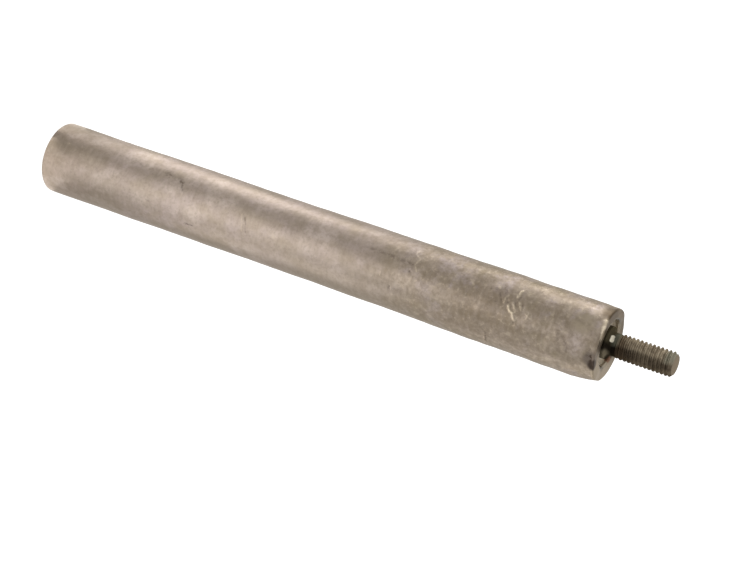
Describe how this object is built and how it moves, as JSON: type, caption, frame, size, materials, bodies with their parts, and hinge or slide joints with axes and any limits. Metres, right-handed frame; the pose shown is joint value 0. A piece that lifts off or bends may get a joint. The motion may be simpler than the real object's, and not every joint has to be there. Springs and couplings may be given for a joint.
{
  "type": "water heater anode rod",
  "caption": "Short round magnesium bar with a recessed, crimped end that holds a threaded steel stud; it corrodes in place of a tank.",
  "frame": {"origin": "centre of the plain sawn end's face, on the ground", "axes": "+Z along the bar's axis, towards the stud; +X towards the side that is crimped flat"},
  "size_m": [0.018, 0.018, 0.1698],
  "materials": {
    "magnesium": "dull, warm grey, drawn bar with handling marks",
    "stud_steel": "dark rolled thread, plated neck"
  },
  "bodies": {
    "root": {"magnesium_rod": "magnesium", "threaded_stud": "stud_steel"}
  },
  "joints": []
}
